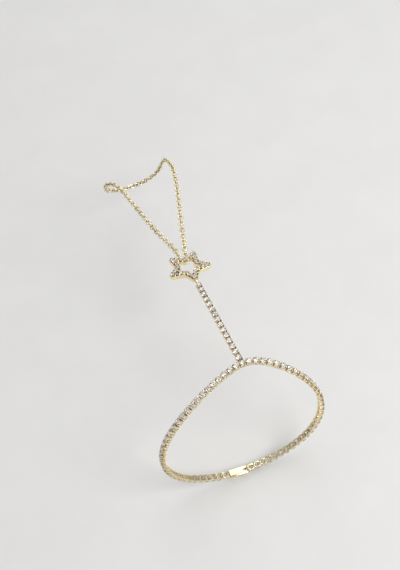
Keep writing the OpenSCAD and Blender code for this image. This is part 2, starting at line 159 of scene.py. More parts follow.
# Finishes: features of each noise for each metre, the places of two colours along it, ranges of
# roughness, and depths in metres
PLATE_CLOUDS, PLATE_GLOSS, PLATE_MARKS, PLATE_STOPS = 620, 1900, 2600, (0.32, 0.56)
STONE_CLOUDS, STONE_GLOSS, STONE_STOPS = 950, 3000, (0.36, 0.5)
PAPER_CLOUDS, PAPER_GLOSS, PAPER_STOPS = 60, 400, (0.3, 0.7)
GOLD_ROUGH, LINK_ROUGH, STONE_ROUGH, PAPER_ROUGH = (0.08, 0.24), (0.14, 0.3), (0, 0.04), (0.55, 0.7)
MARK_STRENGTH, MARK_DEPTH = 0.25, 0.00001
# Painted shade: how far into crevices occlusion darkens the base colour, in metres, for the cups,
# the star and the links, and the occlusion's samples
CUP_PAINTED_SHADE, STAR_PAINTED_SHADE, LINK_PAINTED_SHADE, PAINTED_SHADE_SAMPLES = 0.0006, 0.0035, 0.0012, 8
STONE_CLEARNESS, STONE_IOR, PAPER_SHINE, PAPER_SHADE = 0.84, 1.9, 0.2, 0.97

# The range that noises and shades mostly keep to, and the Mix node's colour sockets: its first
# and second colour in, and the colour out
USUAL_RANGE = (0.3, 0.7)
MIX_FIRST, MIX_SECOND, MIX_COLOUR = 6, 7, 2

# Stage, in metres: each light has a name, the setting of its power, a width, a place and a colour
LIGHTS = (("key_light", "key_power", 0.5, (0.4, -0.35, 0.55), (1.0, 0.985, 0.96)),
          ("fill_light", "fill_power", 1.6, (0.38, 2.08, 1.28), (0.99, 0.98, 1.0)),
          ("top_light", "top_power", 0.8, (0.3, 0.5, 1.1), (1.0, 0.985, 0.97)))
LIGHT_TARGET, SKY_COLOUR, FLOOR_HALF = (0.0, 0.05, 0.0), (1.0, 0.975, 0.96, 1.0), 3.0
SENSOR_WIDTH, NEAREST, FARTHEST = 36.0, 0.01, 10.0

# Camera: its turn, height and roll as angles, its distance, and its shifts from the origin
CAMERA_TURN, CAMERA_HEIGHT, CAMERA_ROLL = 8.745, 57.978, -11.532
CAMERA_DISTANCE, CAMERA_RIGHT, CAMERA_RISE = 352.606, -13.488, 46.826

# Worked out from the sizes above, measured from a cup's pin
EYE_REACH = EYE_D / 2
CUP_FLOOR = EYE_REACH + FLOOR_GAP
CUP_MID = CUP_L / 2 - END_WALL / 2
SLOT_W = EYE_T + 2 * EYE_SIDE_GAP
SLOT_TOP = EYE_REACH + EYE_TOP_GAP
BORE_R = CUP_L / 2 - BORE_WALL
PAVILION_TILT = math.atan(2 * PAVILION)
GIRDLE_Z = (CUP_WALL_H + (STONE_D / 2 - BORE_R) * math.tan(PAVILION_TILT)
            + STONE_GAP / math.cos(PAVILION_TILT))
STONE_TOP = GIRDLE_Z + (GIRDLE + CROWN) * STONE_D
PRONG_OUT = (STONE_D / 2 + STONE_GAP + PRONG_D / 2) / math.sqrt(2)


# Places

def unit(v):
    return v / np.linalg.norm(v)


def mix(a, b, t):
    return a + (b - a) * t


def signed_power(v, e):
    """A power of a number's size, with the number's own sign."""
    return math.copysign(abs(v) ** e, v)


def frame_of(a, b, up):
    """Origin and axes of a place that looks from a to b."""
    x = unit(b - a)
    y = unit(np.cross(up, x))
    return np.array([a, x, y, np.cross(x, y)])


def at(place, points):
    """Points of a place's own, in the frame of the whole part."""
    return place[0] + np.asarray(points, float) @ place[1:]


def rolled(place, angle):
    """A place turned about its own x axis, by an angle in radians."""
    m, x, y, z = place
    c, s = math.cos(angle), math.sin(angle)
    return np.array([m, x, c * y + s * z, c * z - s * y])


class WristRoute:
    """The closed line of the wrist chain's pins."""

    def __init__(self):
        self.half_w = WRIST_W / 2 + CUP_FLOOR
        self.half_h = WRIST_H / 2 + CUP_FLOOR
        angles = np.linspace(-180, 180, ROUTE_STEPS + 1)
        points = np.array([self.point(a) for a in angles])
        lengths = np.concatenate(
            [[0.0], np.cumsum(np.linalg.norm(np.diff(points, axis=0), axis=1))])
        whole = lengths[-1]
        start = lengths[ROUTE_STEPS // 2] - CUP_MID
        self.slots = round(whole / CUP_PITCH)
        self.pitch = whole / self.slots
        self.pins = [self.point(np.interp((start + i * self.pitch) % whole, lengths, angles))
                     for i in range(self.slots + 1)]

    def pull(self, a):
        """How far the strand draws the chain towards the star at an angle."""
        def faded(b, half, e):
            eased = b * b / math.hypot(b, CORNER_ANGLE) if b else 0.0
            return 1 - 1 / (1 + (eased / half) ** e)
        b = a - APEX_TURN
        fade, end = ((FADE_LITTLE, -180 - APEX_TURN) if b < 0
                     else (FADE_THUMB, 180 - APEX_TURN))
        return JUNCTION_PULL * mix(1, PALM_SHARE, faded(b, *fade) / faded(end, *fade))

    def point(self, a):
        """The point of the line at an angle from the junction."""
        turn, e = math.radians(a + JUNCTION_ANGLE), 2 / WRIST_POWER
        return np.array([self.half_w * signed_power(math.sin(turn), e), self.pull(a),
                         self.half_h * signed_power(math.cos(turn), e)])

    def place(self, i, n=1):
        """The place of a piece that reaches from pin i over n pitches."""
        a, b = self.pins[i], self.pins[i + n]
        m = (a + b) / 2
        up = np.array([signed_power(m[0] / self.half_w, WRIST_POWER - 1) / self.half_w, 0,
                       signed_power(m[2] / self.half_h, WRIST_POWER - 1) / self.half_h])
        return frame_of(a, b, up)


def way(heading, slope):
    """The direction with a heading from +Y towards -X and a slope above level."""
    h, s = math.radians(heading), math.radians(slope)
    return np.array([-math.sin(h) * math.cos(s), math.cos(h) * math.cos(s), math.sin(s)])


def strand_way(i):
    """The strand's direction at one of its cups."""
    t = i / STRAND_CUPS
    return way(mix(*HEADINGS, t), mix(*SLOPES, t))


def strand_pins():
    """The strand's pins, from the one on the junction cup's eye to the one in the clevis."""
    pins = [JUNCTION_MID + SIDE_REACH * strand_way(0)]
    for i in range(STRAND_CUPS):
        pins.append(pins[-1] + CUP_PITCH * strand_way(i))
    return pins


def leaning_star_z():
    """The way out of the star's face, which leans towards +X."""
    _, _, y, z = frame_of(np.zeros(3), STAR_WAY, UP)
    lean = math.radians(STAR_LEAN)
    return math.cos(lean) * z - math.sin(lean) * y


WRIST = WristRoute()
CLASP_SLOT = WRIST.slots // 2 - CLASP_SLOTS // 2
WRIST_PLACES = [WRIST.place(i) for i in range(1, WRIST.slots)
                if not CLASP_SLOT <= i < CLASP_SLOT + CLASP_SLOTS]
JUNCTION_PLACE = WRIST.place(0)
CLASP_PLACE = WRIST.place(CLASP_SLOT, CLASP_SLOTS)
CLASP_REACH = float(np.linalg.norm(WRIST.pins[CLASP_SLOT + CLASP_SLOTS]
                                   - WRIST.pins[CLASP_SLOT]))

SIDE_REACH = CUP_PITCH - CUP_MID
JUNCTION_MID = at(JUNCTION_PLACE, (CUP_MID, 0, 0))
STRAND_PINS = strand_pins()
STRAND_PLACES = [frame_of(a, b, UP) for a, b in zip(STRAND_PINS, STRAND_PINS[1:])]

STAR_WAY = way(HEADINGS[1], STAR_SLOPE)
STAR_Z = leaning_star_z()
STAR_MID = STRAND_PINS[-1] + (STAR_LINK + STAR_REACH) * STAR_WAY
STAR_PLACE = np.array([STAR_MID, np.cross(STAR_WAY, STAR_Z), STAR_WAY, STAR_Z])
MID_REACH = STAR_REACH - STAR_BAND / 2
TIP_HALF = math.atan2(STAR_WAIST * math.sin(math.radians(STAR_STEP)),
                      MID_REACH - STAR_WAIST * math.cos(math.radians(STAR_STEP)))
WAIST_HALF = TIP_HALF + math.radians(STAR_STEP)
STAR_FLOOR = -CUP_FLOOR - STAR_SINK
STAR_TOP = STAR_FLOOR + STAR_H
STAR_GIRDLE = STAR_TOP + GIRDLE_LIFT
CHANNEL_HALF = STAR_STONE_D / 2 + STONE_GAP + CHANNEL_EASE
CHANNEL_FLOOR = STAR_GIRDLE - PAVILION * STAR_STONE_D - STONE_GAP
STAR_STONE_TOP = STAR_GIRDLE + (GIRDLE + CROWN) * STAR_STONE_D
RING_Y = (STAR_WAIST + RING_OFFSET / math.tan(WAIST_HALF)
          + STAR_BAND / 2 / math.sin(WAIST_HALF) + RING_D / 2 - RING_SEAT)
RING_Z = (STAR_FLOOR + STAR_TOP) / 2


# Mesh tools: a part is a pair of its points and its faces

def joined(parts):
    """One part from several."""
    points, faces, n = [], [], 0
    for p, f in parts:
        points.append(p)
        faces += [tuple(v + n for v in face) for face in f]
        n += len(p)
    return np.concatenate(points), faces


def placed(part, places):
    """Copies of a part in each place."""
    points, faces = part
    return joined([(at(place, points), faces) for place in places])


def moved(part, offset):
    """A part moved by an offset."""
    points, faces = part
    return points + np.asarray(offset, float), faces


def turned_to(part, x, y, z, origin):
    """A part whose own axes become x, y and z, from an origin."""
    points, faces = part
    return np.asarray(origin, float) + points @ np.array([x, y, z], float), faces


def lofted(loops, closed=False):
    """Quads between loops of as many points; closed joins the last loop to the first."""
    loops = np.asarray(loops, float)
    rows, n = loops.shape[:2]
    faces = []
    for r in range(rows if closed else rows - 1):
        a, b = r * n, (r + 1) % rows * n
        faces += [(a + k, a + (k + 1) % n, b + (k + 1) % n, b + k) for k in range(n)]
    if not closed:
        faces.append(tuple(range(n - 1, -1, -1)))
        faces.append(tuple((rows - 1) * n + k for k in range(n)))
    return loops.reshape(-1, 3), faces


def circle(r, sides):
    """Points round a circle in its own plane."""
    t = np.arange(sides) * 2 * math.pi / sides
    return np.stack([r * np.cos(t), r * np.sin(t)], 1)


def swept(line, radii, sides, side_way):
    """A round bar along a line of points, with a radius at each."""
    line = np.asarray(line, float)
    loops = []
    for i, (p, r) in enumerate(zip(line, radii)):
        t = unit(line[min(i + 1, len(line) - 1)] - line[max(i - 1, 0)])
        u = unit(np.cross(side_way, t))
        v = np.cross(t, u)
        loops.append([p + a * u + b * v for a, b in circle(r, sides)])
    return lofted(loops)


def round_tipped(line, radii, rise):
    """The line and radii of a bar, carried on into a rounded end."""
    line = np.asarray(line, float)
    onward, arc = unit(line[-1] - line[-2]), np.radians(TIP_ARC)
    tip = line[-1] + rise * np.sin(arc)[:, None] * onward
    return np.concatenate([line, tip]), [*radii, *(radii[-1] * np.cos(arc))]


def turned(profile, sides):
    """A ring whose section is a closed profile of (radius, height), about the z axis."""
    return lofted([[(r * c, r * s, h) for r, h in profile] for c, s in circle(1.0, sides)],
                  closed=True)


def rounded_profile(corners, steps=3):
    """A closed profile from (x, y, radius) corners."""
    out = []
    n = len(corners)
    for i in range(n):
        a, b, c = (np.array(corners[(i + k - 1) % n][:2], float) for k in range(3))
        r = corners[i][2]
        u, v = unit(a - b), unit(c - b)
        half = math.acos(max(-1.0, min(1.0, float(u @ v)))) / 2
        m = b + unit(u + v) * r / math.sin(half)
        p, q = b + u * r / math.tan(half) - m, b + v * r / math.tan(half) - m
        first = math.atan2(p[1], p[0])
        sweep = (math.atan2(q[1], q[0]) - first + math.pi) % (2 * math.pi) - math.pi
        out += [m + r * np.array((math.cos(first + sweep * k / steps),
                                  math.sin(first + sweep * k / steps)))
                for k in range(steps + 1)]
    return np.array(out)


def box(low, high):
    """A box between its lowest and highest corners."""
    (a, b, c), (d, e, f) = low, high
    points = np.array([(a, b, c), (d, b, c), (d, e, c), (a, e, c),
                       (a, b, f), (d, b, f), (d, e, f), (a, e, f)], float)
    return points, [(3, 2, 1, 0), (4, 5, 6, 7), (0, 1, 5, 4), (1, 2, 6, 5), (2, 3, 7, 6),
                    (3, 0, 4, 7)]


def rod(radius, low, high, sides=BAR_SIDES):
    """A round rod between two points, along x or y."""
    return swept([low, high], [radius, radius], sides, UP)


def shaped(part, cutters=(), softness=0.0, segments=2, flat_edge=0.0):
    """A part with cutters taken out, its sharp edges softened and its flat faces made one."""
    def as_object(points, faces):
        mesh = bpy.data.meshes.new("shaping")
        mesh.from_pydata(points.tolist(), [], faces)
        mesh.validate()
        obj = bpy.data.objects.new("shaping", mesh)
        bpy.context.scene.collection.objects.link(obj)
        return obj
    body = as_object(*part)
    tools = [as_object(*cutter) for cutter in cutters]
    for tool in tools:
        cut = body.modifiers.new("cut", "BOOLEAN")
        cut.operation, cut.solver, cut.object = "DIFFERENCE", "EXACT", tool
    if softness:
        soft = body.modifiers.new("soft", "BEVEL")
        soft.width, soft.segments = softness, segments
        soft.limit_method, soft.angle_limit = "ANGLE", math.radians(SOFTENED_EDGE)
    if flat_edge:
        flat = body.modifiers.new("flat", "DECIMATE")
        flat.decimate_type, flat.angle_limit = "DISSOLVE", math.radians(flat_edge)
    graph = bpy.context.evaluated_depsgraph_get()
    mesh = body.evaluated_get(graph).to_mesh()
    points = np.array([v.co for v in mesh.vertices])
    faces = [tuple(p.vertices) for p in mesh.polygons]
    body.evaluated_get(graph).to_mesh_clear()
    for obj in [body, *tools]:
        data = obj.data
        bpy.data.objects.remove(obj)
        bpy.data.meshes.remove(data)
    if not faces:
        raise RuntimeError("a part came out empty")
    return points, faces


def make_piece(name, part, node, material, crease=METAL_CREASE):
    """A finished piece in metres, which rides on the root and stands for a node."""
    points, faces = part
    mesh = bpy.data.meshes.new(name)
    mesh.from_pydata((points * MM).tolist(), [], faces)
    mesh.validate()
    if crease:
        mesh.shade_smooth()
        mesh.set_sharp_from_angle(angle=math.radians(crease))
    mesh.materials.append(material)
    obj = bpy.data.objects.new(name, mesh)
    bpy.context.scene.collection.objects.link(obj)
    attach(obj, "root")
    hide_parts(node)


# Cups, their hinges and the clasp

def cup_outline(half_l, half_w, inset):
    """A rounded oblong, with as many points whatever the inset."""
    flat_l, flat_w, r = half_l - CUP_CORNER, half_w - CUP_CORNER, CUP_CORNER - inset
    along = np.linspace(-1, 1, SIDE_POINTS)
    across = np.linspace(-1, 1, END_POINTS)
    arc = np.radians(np.linspace(0, 90, CORNER_POINTS + 2)[1:-1])
    points = [(half_l - inset, w * flat_w) for w in across]
    points += [(flat_l + r * math.cos(t), flat_w + r * math.sin(t)) for t in arc]
    points += [(-v * flat_l, half_w - inset) for v in along]
    points += [(-flat_l - r * math.sin(t), flat_w + r * math.cos(t)) for t in arc]
    return np.array(points + [(-x, -y) for x, y in points])


def eye_slot(depth):
    """What is cut away for the eye, open below and towards the last cup."""
    return box((-END_WALL, -SLOT_W / 2, -2 * CUP_FLOOR), (depth, SLOT_W / 2, SLOT_TOP))


def hinge_pin(sides=PIN_SIDES):
    """The pin across the slot, seated in the metal at both ends."""
    half = SLOT_W / 2 + PIN_SEAT
    return rod(PIN_D / 2, (0, -half, 0), (0, half, 0), sides)


def eye_and_neck(start, reach):
    """The eye that turns on the next pin, with its neck."""
    inner, half = PIN_D / 2 + PIN_GAP, EYE_T / 2
    ring = turned(rounded_profile([
        (inner, -half, EYE_HOLE_SOFT), (EYE_REACH, -half, EYE_SOFT),
        (EYE_REACH, half, EYE_SOFT), (inner, half, EYE_HOLE_SOFT)], 1), EYE_SIDES)
    ring = turned_to(ring, (1, 0, 0), (0, 0, 1), (0, -1, 0), (reach, 0, 0))
    section = rounded_profile([(-half, -half, NECK_SOFT), (half, -half, NECK_SOFT),
                               (half, half, NECK_SOFT), (-half, half, NECK_SOFT)], 1)
    end = reach - (inner + EYE_REACH) / 2
    neck = lofted([[(x, a, b) for a, b in section] for x in (start, end)])
    return joined([ring, neck])


def cup_wall(sizes, windows):
    """A cup's wall: its foot rail, recessed sides, scalloped top, slot and round windows."""
    relief, rail_top = sizes.rail_relief / MM, sizes.rail_height / MM - CUP_FLOOR
    rail = cup_outline(CUP_L / 2 + sizes.rail_reach / MM, CUP_W / 2, 0.0)
    recessed = cup_outline(CUP_L / 2, CUP_W / 2, relief)
    inner = BORE_R * recessed / np.linalg.norm(recessed, axis=1)[:, None]

    def wall_top(points):
        # The scallops cut the long sides, and the ends stay level
        low = CUP_WALL_H + SCALLOP_LIFT - np.sqrt(
            np.clip((SCALLOP_D / 2) ** 2 - points[:, 0] ** 2, 0, None))
        return np.where(np.abs(points[:, 1]) > BORE_R / 2, np.minimum(low, CUP_WALL_H),
                        CUP_WALL_H)

    def level(points, z):
        return np.column_stack([points, np.broadcast_to(z, len(points))])

    wall = lofted([level(inner, -CUP_FLOOR), level(rail, -CUP_FLOOR), level(rail, rail_top),
                   level(recessed, rail_top + relief), level(recessed, wall_top(recessed)),
                   level(inner, wall_top(inner))], closed=True)
    cutters = [eye_slot(CUP_MID)]
    cutters += [rod(WINDOW_D / 2, (CUP_MID, y * CUP_W / 4, WINDOW_Z),
                    (CUP_MID, y * CUP_W, WINDOW_Z)) for y in windows]
    return shaped(moved(wall, (CUP_MID, 0, 0)), cutters, sizes.edge_softness / MM,
                  flat_edge=FLAT_EDGE)


def cup_prongs(sizes):
    """Four prongs, straight from the rail, which lean in over the stone and end round."""
    radii = [PRONG_D / 2 * width for width in PRONG_WIDTHS]
    heights = (sizes.rail_height / MM - CUP_FLOOR - PRONG_SEAT, CUP_WALL_H, GIRDLE_Z,
               STONE_TOP - PRONG_DIP * radii[-1])
    # Across the chain they stand further out, by a third of the cup's extra width
    foot = np.array([PRONG_OUT, PRONG_OUT + (CUP_W - CUP_L) / 3])
    tip_share = 1 - sizes.prong_lean / MM / np.linalg.norm(foot)
    prongs = []
    for corner in ((-1, -1), (-1, 1), (1, -1), (1, 1)):
        line = [(*(foot * corner * mix(1, tip_share, lean)), z)
                for lean, z in zip(PRONG_LEANS, heights)]
        prong = swept(*round_tipped(line, radii, radii[-1]), PRONG_SIDES, ALONG_Y)
        prongs.append(moved(prong, (CUP_MID, 0, 0)))
    return prongs


def cup_part(sizes, reach, windows):
    """A four-prong cup with its pin, and its eye for the next pin at its reach."""
    return joined([cup_wall(sizes, windows), *cup_prongs(sizes), hinge_pin(CUP_PIN_SIDES),
                   eye_and_neck(CUP_MID + CUP_L / 2 - NECK_SEAT, reach)])


def clasp_part():
    """The plain clasp with slightly crowned faces, and the chain's own pin and eye."""
    length = CLASP_REACH - END_WALL
    middle, half = (GIRDLE_Z - CUP_FLOOR) / 2, (GIRDLE_Z + CUP_FLOOR) / 2
    section = [(CLASP_W / 2 * signed_power(c, CLASP_CROWN),
                middle + half * signed_power(s, CLASP_CROWN))
               for c, s in circle(1.0, CLASP_POINTS)]
    body = lofted([[(x, a, b) for a, b in section]
                   for x in (-END_WALL / 2, length - END_WALL / 2)])
    body = shaped(shaped(body, (), CLASP_SOFT, segments=4), [eye_slot(SLOT_TOP)], SLOT_SOFT)
    return joined([body, hinge_pin(), eye_and_neck(length - END_WALL, CLASP_REACH)])


# Stones

def brilliant(d):
    """A round brilliant cut of 57 facets, its girdle's lower edge at height 0."""
    top, girdle, deep = (GIRDLE + CROWN) * d, GIRDLE * d, PAVILION * d
    r, table_r, half_turn = d / 2, TABLE * d / 2, FACET_ANGLE / 2
    step = math.cos(math.radians(half_turn))
    star_r = mix(table_r, r, STAR_FACETS) / step
    star_z = mix(top, girdle, (star_r * step - table_r) / (r - table_r))
    low_r = LOWER_FACETS * r / step
    low_z = -deep * (1 - low_r * step / r)

    def ring(radius, z, n, turn=0.0):
        t = np.arange(n) * 2 * math.pi / n + math.radians(turn)
        return np.column_stack([radius * np.cos(t), radius * np.sin(t), np.full(n, z)])

    points = np.concatenate([ring(table_r, top, 8), ring(star_r, star_z, 8, half_turn),
                             ring(r, girdle, 16), ring(r, 0.0, 16),
                             ring(low_r, low_z, 8, half_turn), [[0, 0, -deep]]])
    # The first point of each ring
    table, star, high, under, lower, culet = 0, 8, 16, 32, 48, 56
    faces = [tuple(range(8))]
    for k in range(8):
        n, m = (k + 1) % 8, (k - 1) % 8
        g, half, g_next = 2 * k, 2 * k + 1, (2 * k + 2) % 16
        faces.append((table + n, table + k, star + k))
        faces.append((table + k, star + m, high + g, star + k))
        faces += [(star + k, high + g, high + half), (star + k, high + half, high + g_next)]
        faces += [(under + g, under + half, high + half, high + g),
                  (under + half, under + g_next, high + g_next, high + half)]
        faces.append((culet, lower + k, under + g, lower + m))
        faces += [(lower + k, under + half, under + g), (lower + k, under + g_next, under + half)]
    return points, faces


def stone_field(places, middle, d, z, tilt=STONE_TILT):
    """Stones in their places, each turned a little differently."""
    points, faces = brilliant(d)
    parts = []
    for i, place in enumerate(places):
        t = math.radians((SPIN_STEP * i) % FACET_ANGLE)
        c, s = math.cos(t), math.sin(t)
        spun = points @ np.array([(c, s, 0), (-s, c, 0), (0, 0, 1)])
        a, b = tilt * math.sin(TILT_RATES[0] * i), tilt * math.sin(TILT_RATES[1] * i + 1)
        spun = spun @ np.array([(1, 0, -a), (0, 1, -b), (a, b, 1)])
        parts.append((at(place, spun + np.array([middle, 0, z])), faces))
    return joined(parts)


# Star

def polar(r, degrees):
    """A point of the star's plane, from a radius and an angle in degrees."""
    t = math.radians(degrees)
    return np.array((r * math.cos(t), r * math.sin(t)))


def star_corners(d):
    """The ten corners of the star's middle line, moved out by d."""
    return [polar(MID_REACH + d / math.sin(TIP_HALF) if k % 2 == 0
                  else STAR_WAIST + d / math.sin(WAIST_HALF), STAR_FIRST + STAR_STEP * k)
            for k in range(2 * STAR_POINTS)]


def star_loop(d):
    """The star's outline at d from its middle line, with its own roundings."""
    inner, outer = -CHANNEL_HALF, CHANNEL_HALF
    tip = np.interp(d, (inner, outer), (OPENING_ROUND, CHANNEL_HALF)) + max(0.0, d - outer)
    waist = np.interp(d, (inner, outer), (OPENING_ROUND, WAIST_ROUND))
    corners = [(*p, tip if k % 2 == 0 else waist) for k, p in enumerate(star_corners(d))]
    return rounded_profile(corners, STAR_CORNER_STEPS)


def star_at(i):
    """The place of stone i on the middle line, and the way out of the star's edge there."""
    corners = star_corners(0)
    edge, t = int(i // EDGE_STONES), i / EDGE_STONES - i // EDGE_STONES
    a, b = corners[edge % len(corners)], corners[(edge + 1) % len(corners)]
    u = unit(b - a)
    return mix(a, b, t), np.array((u[1], -u[0]))


def star_rim(sizes):
    """The height of the band's rim."""
    return STAR_TOP - sizes.rim_drop / MM


def star_band(sizes):
    """The open band with its stone channel."""
    soft, half, rim = sizes.star_softness / MM, STAR_BAND / 2, star_rim(sizes)
    profile = rounded_profile([
        (-half, STAR_FLOOR, soft), (half, STAR_FLOOR, soft), (half, rim, soft),
        (CHANNEL_HALF, rim, soft / 2), (CHANNEL_HALF, CHANNEL_FLOOR, soft / 2),
        (-CHANNEL_HALF, CHANNEL_FLOOR, soft / 2), (-CHANNEL_HALF, rim, soft / 2),
        (-half, rim, soft)])
    return lofted([[(x, y, z) for x, y in star_loop(d)] for d, z in profile], closed=True)


def side_prong(foot, lean, r):
    """A small prong that leans over its stones and ends round."""
    low, high, rounding = CHANNEL_FLOOR, STAR_STONE_TOP + SIDE_PRONG_RISE, SIDE_PRONG_ROUND * r
    line = [(*foot, low), (*foot, mix(low, high, SIDE_PRONG_NECK)),
            (*(foot + lean), high - rounding)]
    return swept(*round_tipped(line, [r, r, SIDE_PRONG_TIP * r], rounding), SIDE_PRONG_SIDES,
                 ALONG_Y)


def side_prongs(sizes):
    """Prongs between the stones: outside all round, and inside away from the tips."""
    r, lean = sizes.star_prong_size / MM / 2, sizes.star_prong_lean / MM
    reach = CHANNEL_HALF + sizes.star_prong_reach / MM
    prongs = []
    for n in range(2 * STAR_POINTS * EDGE_STONES):
        i = n + 0.5
        middle, outward = star_at(i)
        prongs.append(side_prong(middle + reach * outward, -lean * outward, r))
        from_tip = i % (2 * EDGE_STONES)
        if min(from_tip, 2 * EDGE_STONES - from_tip) > 1:
            prongs.append(side_prong(middle - reach * outward, lean * outward, r))
    return prongs


def tip_prongs(sizes):
    """Three slim prongs round each point of the star."""
    rim, top = star_rim(sizes), STAR_STONE_TOP + TIP_PRONG_RISE
    lean = sizes.star_prong_lean / MM
    reach = (STAR_STONE_D + STAR_PRONG_D) / 2 + STONE_GAP
    radii = [TIP_PRONG_R, TIP_PRONG_R, *(r for _, _, r in TIP_PRONG_BENDS)]
    prongs = []
    for k in range(STAR_POINTS):
        angle = STAR_FIRST + 2 * STAR_STEP * k
        for turn in TIP_PRONG_TURNS:
            away = polar(1.0, angle + turn)
            foot = polar(MID_REACH, angle) + reach * away
            line = [(*foot, CHANNEL_FLOOR), (*foot, rim)]
            line += [(*(foot - away * lean * s), mix(rim, top, u)) for s, u, _ in TIP_PRONG_BENDS]
            prongs.append(swept(line, radii, PRONG_SIDES, ALONG_Y))
    return prongs


def soldered_rings():
    """The two small upright rings for the fine chain."""
    middle_r = (RING_D - RING_WIRE) / 2
    ring = turned([(middle_r + a, b) for a, b in circle(RING_WIRE / 2, WIRE_SIDES)], RING_SIDES)
    return [turned_to(ring, (0, 1, 0), (0, 0, 1), (1, 0, 0), (side * RING_OFFSET, RING_Y, RING_Z))
            for side in (-1, 1)]


def star_clevis():
    """The slotted barrel at the star's nearest point, with the strand's last pin."""
    radius, lift = (CUP_FLOOR + CUP_WALL_H) / 2, (CUP_WALL_H - CUP_FLOOR) / 2
    barrel = rod(radius, (-END_WALL / 2, 0, lift), (STAR_LINK + CLEVIS_REACH, 0, lift))
    barrel = shaped(barrel, (), CLEVIS_SOFT, segments=3)
    clevis = joined([shaped(barrel, [eye_slot(SLOT_TOP)], SLOT_SOFT), hinge_pin()])
    return turned_to(clevis, (0, 1, 0), (-1, 0, 0), (0, 0, 1), (0, -STAR_LINK - STAR_REACH, 0))


def star_part(sizes):
    """The open star: its band, its prongs, two soldered rings and the clevis."""
    return joined([star_band(sizes), *side_prongs(sizes), *tip_prongs(sizes),
                   *soldered_rings(), star_clevis()])


# Fine chain

def ring_point(side, reach):
    """A point beyond the middle of a soldered ring, away from the star."""
    return at(STAR_PLACE, (side * RING_OFFSET, RING_Y + reach, RING_Z))


def finger_line():
    """Points along the fine chain, from inside one soldered ring to inside the other."""
    inside, beyond = RING_D / 2 - RING_WIRE, RING_D / 2 + RING_GAP
    p = np.array([ring_point(-1, inside), ring_point(-1, beyond), *(STAR_MID + FINGER_ROUTE),
                  ring_point(1, beyond), ring_point(1, inside)])
    p = np.array([2 * p[0] - p[1], *p, 2 * p[-1] - p[-2]])
    # A smooth curve through the points, from b to c of each four
    line = []
    for a, b, c, d in zip(p, p[1:], p[2:], p[3:]):
        for t in np.arange(LINE_STEPS) / LINE_STEPS:
            line.append((2 * b + (c - a) * t + (2 * a - 5 * b + 4 * c - d) * t * t
                         + (3 * b - a - 3 * c + d) * t ** 3) / 2)
    return np.array([*line, p[-2]])


def link_part(pitch, width, wire):
    """One oval link in the x-y plane, whose inner length is the pitch."""
    half_l, half_w = (pitch + wire) / 2, (width - wire) / 2
    loops = []
    for c, s in circle(1.0, LINK_POINTS):
        middle = np.array((half_l * signed_power(c, LINK_SQUARENESS),
                           half_w * signed_power(s, LINK_SQUARENESS), 0.0))
        out = unit(np.array((c / half_l, s / half_w, 0.0)))
        loops.append([middle + a * out + b * UP for a, b in circle(wire / 2, WIRE_SIDES)])
    return lofted(loops, closed=True)


def untwisted_places(joints):
    """A place for each link, with no twist but what the far stretch takes up to end level."""
    up, places = UP, []
    for a, b in zip(joints, joints[1:]):
        x = unit(b - a)
        up = unit(up - (up @ x) * x)
        places.append(np.array([(a + b) / 2, x, np.cross(up, x), up]))
    _, x, y, z = places[-1]
    level = unit(UP - (UP @ x) * x)
    miss = math.atan2(-level @ y, level @ z)
    shares = np.clip((np.linspace(0, 1, len(places)) - TWIST_FROM) / TWIST_OVER, 0, 1)
    return [rolled(place, miss * share) for place, share in zip(places, shares)]


def chain_part(sizes):
    """The fine chain, whose links stand crosswise in turn and each lie a little differently."""
    line = finger_line()
    lengths = np.concatenate([[0.0], np.cumsum(np.linalg.norm(np.diff(line, axis=0), axis=1))])
    count = sizes.link_count
    stops = np.linspace(0.0, lengths[-1], count + 1)
    joints = np.column_stack([np.interp(stops, lengths, line[:, k]) for k in range(3)])
    link = link_part(lengths[-1] / count, sizes.link_width / MM, sizes.link_wire / MM)
    angle, rate = LINK_VARIES
    parts = []
    for i, place in enumerate(untwisted_places(joints)):
        roll = LINK_LIE * min(1.0, i / LINK_EASE, (count - 1 - i) / LINK_EASE) + 90 * (i % 2)
        if 0 < i < count - 1:
            roll += angle * math.sin(rate * i)
        parts.append(placed(link, [rolled(place, math.radians(roll))]))
    return joined(parts)


# Finishes

